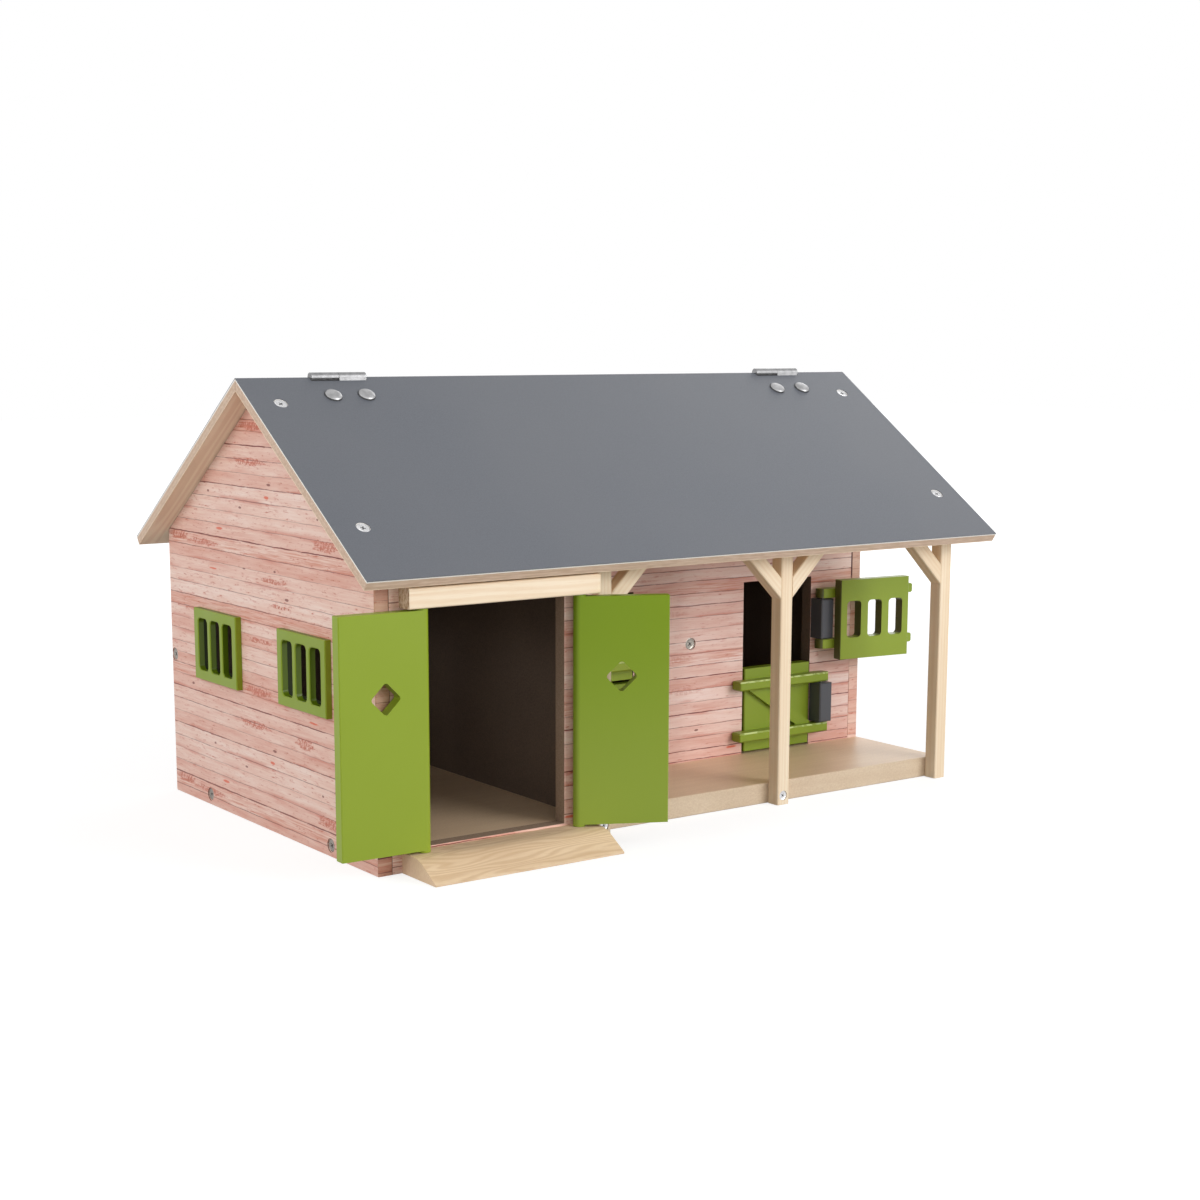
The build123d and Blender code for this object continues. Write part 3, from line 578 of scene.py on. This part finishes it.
def painted(name, colour, show=0.25, low=None, fade=(20.0, 140.0), edges=None, rims=(), left=None,
            arris_highlight=None):
    """Sprayed paint. Low is its colour lower down, below the fade heights, a painted sheen;
    edges that of the narrow sides away from the outer rims; left that of sides turned to
    the left, a painted shade; and arris that of upper edges, a painted highlight."""
    material, s, surface = new_material(name)
    at = object_at(s)
    # painted sheen: the paint lighter and yellower lower down
    if low:
        height = s.separate(at)["Z"]
        colour = s.mix(s.span(height, fade[0] * MM, fade[1] * MM), low, colour)
    if edges:
        sideways = s.under(s.math("ABSOLUTE", facing(s)["X"]), FACING)
        for rim in rims:
            off = s.math("ABSOLUTE", s.minus(s.separate(at)["Y"], rim))
            sideways = s.times(sideways, s.over(off, RIM))
        colour = s.mix(sideways, colour, edges)
    # painted shade on the sides turned to the left
    if left:
        colour = s.mix(s.under(facing(s)["X"], -FACING), colour, left)
    # painted highlight on the upper edges, broken into patches
    if arris_highlight:
        way = facing(s)
        sloping = s.times(s.over(way["Z"], 0.25), s.under(way["Y"], -0.25))
        highlight_breaks = s.span(s.noise(at, scale=260.0, detail=2.0), 0.42, 0.6, 0.25, 1.0)
        colour = s.mix(s.times(sloping, highlight_breaks), colour, arris_highlight)
    paint = s.group(PAINT, Vector=at, Colour=colour, Grain_Show=show)
    s.plug(surface["Base Color"], paint["Colour"])
    s.plug(surface["Roughness"], paint["Roughness"])
    surface["Specular IOR Level"].default_value = 0.32
    bumped(s, surface, paint["Height"], 0.03 * MM, 0.6)
    return material


def plated(name, colour, rough):
    material, s, surface = new_material(name)
    at = object_at(s)
    fine = s.noise(at, scale=2500.0, detail=2.0)
    dull = s.noise(at, scale=300.0, detail=2.0)
    s.plug(surface["Base Color"], s.mix(s.span(dull, 0.35, 0.7), colour, tuple(0.8 * v for v in colour)))
    surface["Metallic"].default_value = 1.0
    s.plug(surface["Roughness"], s.span(fine, 0.3, 0.7, rough, rough + 0.14))
    bumped(s, surface, fine, 0.02 * MM, 0.4)
    return material


def dress(names, material):
    """Give nodes of the solids a material, and nothing else."""
    for name in names:
        mesh = nodes[name].data
        mesh.materials.clear()
        mesh.materials.append(material)


# ---- camera, light and floor ----
AMBIENT = 0.46              # strength of the white surroundings on the barn
FLOOR_SHADE = 0.35          # the floor's own colour, which takes the shadow
FLOOR_GLOW = 0.78           # white added to it under the barn, where the background is seen
GLOW_FROM, GLOW_TO = 0.35, 1.6      # from here to there, in metres, that rises to full white
FLOOR_SIZE = 6.0
FLOOR_DROP = 0.2 * MM       # the floor lies just under the barn
SOFTBOXES = (               # name, place, height aimed at, size and watts
    ("front", (0.9, -2.1, 0.65), 0.1, 1.2, 22),
    ("front_left", (-1.2, -2.0, 0.5), 0.1, 1.2, 5),
    ("behind", (2.4, 1.6, 1.6), 0.15, 1.5, 14),
    ("high", (1.2, -1.8, 1.2), 0.1, 1.2, 12),
    ("left", (-2.2, 0.2, 0.7), 0.12, 1.4, 20))


def camera():
    """The photograph's own view, worked out for a square frame."""
    data = bpy.data.cameras.new("view")
    data.sensor_width = 36.0
    data.lens = 59.744
    data.shift_x = 0.02447
    data.shift_y = 0.06736
    eye = bpy.data.objects.new("view", data)
    eye.location = CORNER + Vector((-0.497327, -0.885763, 0.275958))
    eye.rotation_euler = [radians(v) for v in (80.3702, -0.0280, -34.9875)]
    bpy.context.scene.collection.objects.link(eye)
    bpy.context.scene.camera = eye


def softbox(name, place, aim, size, watts):
    data = bpy.data.lights.new(name, "AREA")
    data.shape = "RECTANGLE"
    data.size = size
    data.size_y = size
    data.energy = watts
    lamp = bpy.data.objects.new(name, data)
    lamp.location = place
    lamp.rotation_euler = (Vector((0, 0, aim)) - Vector(place)).to_track_quat("-Z", "Y").to_euler()
    bpy.context.scene.collection.objects.link(lamp)


def seen_white(s):
    """1 for rays that see the background: from the camera, off gloss or through glass."""
    path = s.node("ShaderNodeLightPath").outputs
    seen = s.math("MAXIMUM", path["Is Camera Ray"], path["Is Glossy Ray"])
    return s.math("MAXIMUM", seen, path["Is Transmission Ray"])


def world():
    sky = bpy.data.worlds.new("studio")
    bpy.context.scene.world = sky
    sky.use_nodes = True
    s = Shader(sky.node_tree)
    back = next(n for n in s.nodes if n.type == "BACKGROUND")
    back.inputs["Color"].default_value = (1, 1, 1, 1)
    s.plug(back.inputs["Strength"], s.span(seen_white(s), 0.0, 1.0, AMBIENT, 1.0, smooth=False))


def floor():
    shape = bmesh.new()
    bmesh.ops.create_grid(shape, x_segments=1, y_segments=1, size=FLOOR_SIZE)
    mesh = bpy.data.meshes.new("floor")
    shape.to_mesh(mesh)
    shape.free()
    ground = bpy.data.objects.new("floor", mesh)
    bpy.context.scene.collection.objects.link(ground)
    material, s, surface = new_material("floor")
    surface["Base Color"].default_value = (FLOOR_SHADE,) * 3 + (1,)
    surface["Roughness"].default_value = 1.0
    surface["Specular IOR Level"].default_value = 0.0
    surface["Emission Color"].default_value = (1, 1, 1, 1)
    away = s.vector("LENGTH", s.vector("MULTIPLY", object_at(s), (1.0, 1.0, 0.0)))
    glow = s.span(away, GLOW_FROM, GLOW_TO, FLOOR_GLOW, 1.0)
    s.plug(surface["Emission Strength"], s.times(seen_white(s), glow))
    mesh.materials.append(material)
    ground.location.z = -FLOOR_DROP


# ---- finish of each carried-over piece ----
LEFT, RIGHT, FRONT, BACK = (-1, 0, 0), (1, 0, 0), (0, -1, 0), (0, 1, 0)
# turns that bring a bar's length to X
UPRIGHT, RISING, FALLING = (0, pi / 2, 0), (0, radians(45), 0), (0, -radians(45), 0)
# place of the open gap by the right gable's front edge, and the height from which the gap line and the
# darker edge are painted shade
SHADED_SEAM = ((RIGHT_LOW.x - CORNER.x) / MM, 118.0)
PAINTED_HIGHLIGHT = srgb(206, 224, 150)     # painted highlight on the upper edges of the stall doors
PINE = dict(light=srgb(250, 232, 204), dark=srgb(228, 194, 152), pitch=0.0026, wander=0.12, stretch=24.0,
            contrast=0.26)

dress(["left_gable"], plank_wall(
    "planks_left_gable", LEFT, GABLE_JOINTS, front=0.0, wander=0.4, seed=1.3, holes_with_painted_shade=True))
dress(["right_gable"], plank_wall(
    "planks_right_gable", RIGHT, GABLE_JOINTS, front=STABLE_Y, slide=40, lift=3, seed=5.1,
    strip_tint=(0.9, 0.84, 0.82), strip_dark=0.3, shaded_seam=SHADED_SEAM))
dress(["storage_side"], plank_wall(
    "planks_storage_side", RIGHT, GABLE_JOINTS, front=PORCH_Y, slide=90, lift=60, seed=3.4))
dress(["storage_front"], plank_wall(
    "planks_storage_front", FRONT, FRONT_JOINTS, slide=60, lift=2, seed=2.2,
    inside=(srgb(176, 150, 128), srgb(134, 111, 92))))
dress(["stable_front"], plank_wall(
    "planks_stable_front", FRONT, FRONT_JOINTS, slide=-130, wander=0.4, seed=4.6, marks=0.3,
    tone=(0.93, 0.95, 1.0)))
dress(["back_wall"], plank_wall("planks_back_wall", BACK, GABLE_JOINTS, slide=20, lift=24, seed=6.7))
dress(["storage_floor", "stable_floor"],
      bare_board("floor_board", srgb(240, 214, 182), srgb(214, 182, 148)))
dress(["stall_wall"], bare_board("stall_board", srgb(205, 178, 152), srgb(170, 138, 112), seed=2.0))
dress(["roof_front"], roof_board("roof_front_board", -1))
dress(["roof_rear"], roof_board("roof_rear_board", 1))
dress(["post_1", "post_2", "post_3"], bare_bar("post_wood", turn=UPRIGHT, seed=1.0, **PINE))
dress(["strut_1_right", "strut_2_right"], bare_bar("right_strut_wood", turn=RISING, seed=2.0, **PINE))
dress(["strut_2_left", "strut_3_left"], bare_bar("left_strut_wood", turn=FALLING, seed=3.0, **PINE))
dress(["beam"], bare_bar(
    "beam_wood", light=srgb(252, 234, 208), dark=srgb(230, 196, 152), pitch=0.004, wander=0.4,
    stretch=16.0, seed=5.0, contrast=0.3, sawn=srgb(140, 104, 70)))
dress(["ramp"], bare_bar(
    "ramp_wood", light=srgb(242, 214, 180), dark=srgb(206, 168, 126), pitch=0.0042, wander=0.9,
    stretch=8.0, seed=8.0, contrast=0.45, sawn=srgb(226, 192, 160)))
# both leaves lighter lower down, a painted sheen
dress(["leaf_left"], painted("left_leaf_paint", srgb(140, 162, 30), low=srgb(144, 164, 44)))
dress(["leaf_right"], painted("right_leaf_paint", srgb(120, 146, 4), low=srgb(139, 158, 52)))
windows = [n for n in nodes if n.startswith("window")]
window_rims = [corner.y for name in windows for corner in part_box(name)]
dress(windows, painted("window_paint", srgb(132, 153, 26), edges=srgb(94, 116, 12), rims=window_rims))
doors = [n for n in nodes if n.startswith("stall_") and n.endswith(("panel", "battens", "brace"))]
# lower halves: a painted highlight on their upper edges
dress([n for n in doors if "lower" in n],
      painted("lower_door_paint", srgb(130, 150, 40), arris_highlight=PAINTED_HIGHLIGHT))
# upper halves: lighter lower down as a painted sheen, painted shade on sides turned to the left and a
# painted highlight on upper edges
dress([n for n in doors if "upper" in n],
      painted("upper_door_paint", srgb(127, 147, 32), low=srgb(141, 161, 48), fade=(88.0, 135.0),
              left=srgb(84, 86, 40), arris_highlight=PAINTED_HIGHLIGHT))
dress([n for n in nodes if n.endswith("block")], painted("charcoal_paint", srgb(80, 82, 88), show=0.1))
nickel = plated("nickel", (0.42, 0.42, 0.425), 0.34)
dress([n for n in nodes if n.endswith(("rivets", "screws"))], nickel)
dress([n for n in nodes if n.startswith("hinge_")], plated("hinge_plate", (0.3, 0.3, 0.305), 0.42))
# steel tinted warm: a painted reflection of the pink walls
steel = plated("steel", (0.3, 0.275, 0.245), 0.24)
dress([n for n in nodes if n.startswith("leaf_") and n.endswith("pins")], steel)
dress([n for n in nodes if n.startswith("stall_") and n.endswith("pin")], steel)


# ---- fasteners, with more detail than the solids they stand for ----
def grown(shape, edges):
    """The points and edges that extruding a ring of edges makes, still on their old places."""
    parts = bmesh.ops.extrude_edge_only(shape, edges=edges)["geom"]
    points = [part for part in parts if isinstance(part, bmesh.types.BMVert)]
    return points, [part for part in parts if isinstance(part, bmesh.types.BMEdge)]


def ring_down(shape, ring, steps):
    """Carry a ring of edges through (radius, height) steps and close it under the last."""
    for radius, height in steps:
        points, ring = grown(shape, ring)
        for point in points:
            scale = radius / point.co.xy.length
            point.co = (point.co.x * scale, point.co.y * scale, height)
    bmesh.ops.edgeloop_fill(shape, edges=ring)


def screw_mesh(radius, length, sink):
    """A countersunk screw, its head up at -sink, dished inside its rim, with a cross recess."""
    slot, arm, box, ring = 0.075 * radius, 0.4 * radius, 0.5 * radius, 0.76 * radius
    lines = (-box, -arm, -slot, 0.0, slot, arm, box)
    top, dish = -sink, -sink - 0.05 * radius
    shank = 0.45 * radius
    shape = bmesh.new()
    bmesh.ops.create_grid(shape, x_segments=6, y_segments=6, size=3.0)
    # the grid's lines move to the edges of the cross
    for point in shape.verts:
        point.co = (lines[round(point.co.x) + 3], lines[round(point.co.y) + 3], dish)
    border = [edge for edge in shape.edges if edge.is_boundary]
    cross = []
    for face in shape.faces:
        x, y = (abs(v) for v in face.calc_center_median().xy)
        if min(x, y) < slot and max(x, y) < arm:
            cross.append(face)
    bmesh.ops.inset_region(
        shape, faces=cross, thickness=0.02 * radius, depth=-0.3 * radius, use_even_offset=True)
    # the square's border grows to a circle, its points taken round in order
    points, circle = grown(shape, border)
    points.sort(key=lambda point: (atan2(point.co.y, point.co.x) + 0.01) % (2 * pi))
    for step, point in enumerate(points):
        angle = 2 * pi * step / len(points)
        point.co = (ring * cos(angle), ring * sin(angle), dish)
    ring_down(shape, circle, [
        (0.84 * radius, top - 0.01 * radius), (0.93 * radius, top), (radius, top - 0.03 * radius),
        (radius, top - 0.1 * radius), (shank, top - 0.65 * radius), (shank, 0.3 - length),
        (0.8 * shank, -length)])
    bmesh.ops.recalc_face_normals(shape, faces=shape.faces)
    # the cross recess takes the second material, dark as painted shade
    for face in shape.faces:
        middle = face.calc_center_median()
        sunk = top - 0.6 * radius < middle.z < dish - 0.02 * radius
        if sunk and middle.xy.length < box:
            face.material_index = 1
    return shape


def rivet_mesh():
    """A domed cap on a shank that is closed under the hinge plate: radii and heights, spun."""
    shape = bmesh.new()
    profile = [
        (0.0, 1.9), (2.4, 1.86), (3.7, 1.68), (4.5, 1.34), (4.95, 0.85), (5.2, 0.3), (5.2, 0.0), (2.0, 0.0),
        (2.0, -7.0), (3.4, -7.0), (3.1, -8.0), (2.0, -9.0), (0.0, -9.0)]
    points = [shape.verts.new((x, 0.0, z)) for x, z in profile]
    edges = [shape.edges.new(pair) for pair in zip(points, points[1:])]
    bmesh.ops.spin(shape, geom=points + edges, axis=(0, 0, 1), cent=(0, 0, 0), angle=2 * pi, steps=48,
                   use_merge=True)
    bmesh.ops.remove_doubles(shape, verts=shape.verts, dist=0.01)
    bmesh.ops.recalc_face_normals(shape, faces=shape.faces)
    # the cap's lower rim takes the second material, dark as painted shade
    for face in shape.faces:
        if -0.1 < face.calc_center_median().z < 0.9:
            face.material_index = 1
    return shape


def turned(place, axis, angle, spin):
    """Place and turn in the house, in millimetres, spun about its own axis first."""
    return Matrix.Translation(place) @ Matrix.Rotation(angle, 4, axis) @ Matrix.Rotation(spin, 4, "Z")


def roof_spot(x, down, side=-1):
    """A point and turn on a roof panel, down its slope from the ridge."""
    place = (x, DEPTH / 2 + side * down * cos(SLOPE), RIDGE_TOP - down * sin(SLOPE))
    return turned(place, "X", -side * SLOPE, 0.013 * x + 0.02 * down)


def fastener(name, node, body, items, materials):
    """One piece from several (mesh, place) items, in place of a node."""
    mesh = bpy.data.meshes.new(name)
    whole = bmesh.new()
    into_frame = Matrix.Translation(CORNER) @ Matrix.Scale(MM, 4)
    for shape, place in items:
        one = bpy.data.meshes.new("one")
        bmesh.ops.transform(shape, matrix=into_frame @ place, verts=shape.verts)
        shape.to_mesh(one)
        shape.free()
        whole.from_mesh(one)
        bpy.data.meshes.remove(one)
    whole.to_mesh(mesh)
    whole.free()
    mesh.shade_smooth()
    mesh.set_sharp_from_angle(angle=radians(35))
    for material in materials:
        mesh.materials.append(material)
    piece = bpy.data.objects.new(name, mesh)
    bpy.context.scene.collection.objects.link(piece)
    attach(piece, body)
    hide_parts(node)


SCREW, SHORT_SCREW = 18.0, 5.6      # lengths
ROOF_HEAD, WALL_HEAD, POST_HEAD = 3.7, 3.6, 3.0     # radii
ROOF_SINK, WALL_SINK = 0.4, 0.5     # how deep the heads' tops lie
ROOF_HIGH, ROOF_LOW = 24.0, 132.9   # roof screws, down the slope from the ridge
RIGHT_MID = WIDTH - BOARD_MID
STORE_SIDE_X, STALL_WALL_X = 141.35, 278.6
FLOOR_SCREW_Z, FRONT_SCREW_Z, WALL_SCREW_Z, POST_SCREW_Z = 6.25, 88.4, 86.4, 5.6
ON_LEFT, ON_RIGHT, ON_FRONT, ON_BACK = ("Y", -pi / 2), ("Y", pi / 2), ("X", pi / 2), ("X", -pi / 2)
ROOF_SCREWS = (                     # along the ridge, down the slope and length
    (BOARD_MID, ROOF_HIGH, SCREW), (BOARD_MID, ROOF_LOW, SCREW),
    (RIGHT_MID, ROOF_HIGH, SCREW), (RIGHT_MID, ROOF_LOW, SHORT_SCREW))
WALL_SCREWS = (                     # place, face and spin
    ((0, 52.0, FLOOR_SCREW_Z), ON_LEFT, 0.5), ((0, 204.8, FLOOR_SCREW_Z), ON_LEFT, 0.2),
    ((0, DEPTH - BOARD_MID, WALL_SCREW_Z), ON_LEFT, 0.9),
    ((WIDTH, STABLE_Y + BOARD_MID, WALL_SCREW_Z), ON_RIGHT, 0.3),
    ((STALL_WALL_X, STABLE_Y, FRONT_SCREW_Z), ON_FRONT, 0.7),
    ((STORE_SIDE_X, DEPTH, WALL_SCREW_Z), ON_BACK, 0.1),
    ((STALL_WALL_X, DEPTH, WALL_SCREW_Z), ON_BACK, 1.2),
    ((RIGHT_MID, DEPTH, WALL_SCREW_Z), ON_BACK, 0.6))
POST_SCREWS = (
    ((150.1, PORCH_Y, POST_SCREW_Z), ON_FRONT, 0.3), ((283.9, PORCH_Y, POST_SCREW_Z), ON_FRONT, 1.0))
HINGE_X = (50.0, WIDTH - 46.5)
RIVET_DOWN, RIVET_STEP = 18.0, 10.6     # down the slope, and to each side of a hinge's middle

# dark steel for the screws' cross recesses: painted shade
recess = plated("screw_recess", (0.12, 0.12, 0.12), 0.5)
# dark lower rim of the rivet caps: painted shade
painted_rim_shade = plated("cap_rim", (0.1, 0.1, 0.1), 0.45)
# a brighter copy of the screws' steel for the roof and post screws: painted light
steel_with_painted_light = plated("bright_steel", (0.72, 0.72, 0.73), 0.2)
fastener("roof_screw_heads", "roof_screws", "house", [
    (screw_mesh(ROOF_HEAD, length, ROOF_SINK), roof_spot(x, down)) for x, down, length in ROOF_SCREWS],
         [steel_with_painted_light, recess])
fastener("wall_screw_heads", "wall_screws", "house", [
    (screw_mesh(WALL_HEAD, SCREW, WALL_SINK), turned(place, *face, spin))
    for place, face, spin in WALL_SCREWS], [steel, recess])
fastener("post_screw_heads", "post_screws", "house", [
    (screw_mesh(POST_HEAD, SCREW, WALL_SINK), turned(place, *face, spin))
    for place, face, spin in POST_SCREWS], [steel_with_painted_light, recess])
for name, node, body, side in (("front_rivet_caps", "front_rivets", "house", -1),
                               ("rear_rivet_caps", "rear_rivets", "roof_rear", 1)):
    fastener(name, node, body, [
        (rivet_mesh(), roof_spot(x + step, RIVET_DOWN, side))
        for x in HINGE_X for step in (-RIVET_STEP, RIVET_STEP)], [nickel, painted_rim_shade])

camera()
world()
floor()
for name, place, aim, size, watts in SOFTBOXES:
    softbox(name, place, aim, size, watts)
bpy.context.scene.view_settings.view_transform = "Standard"
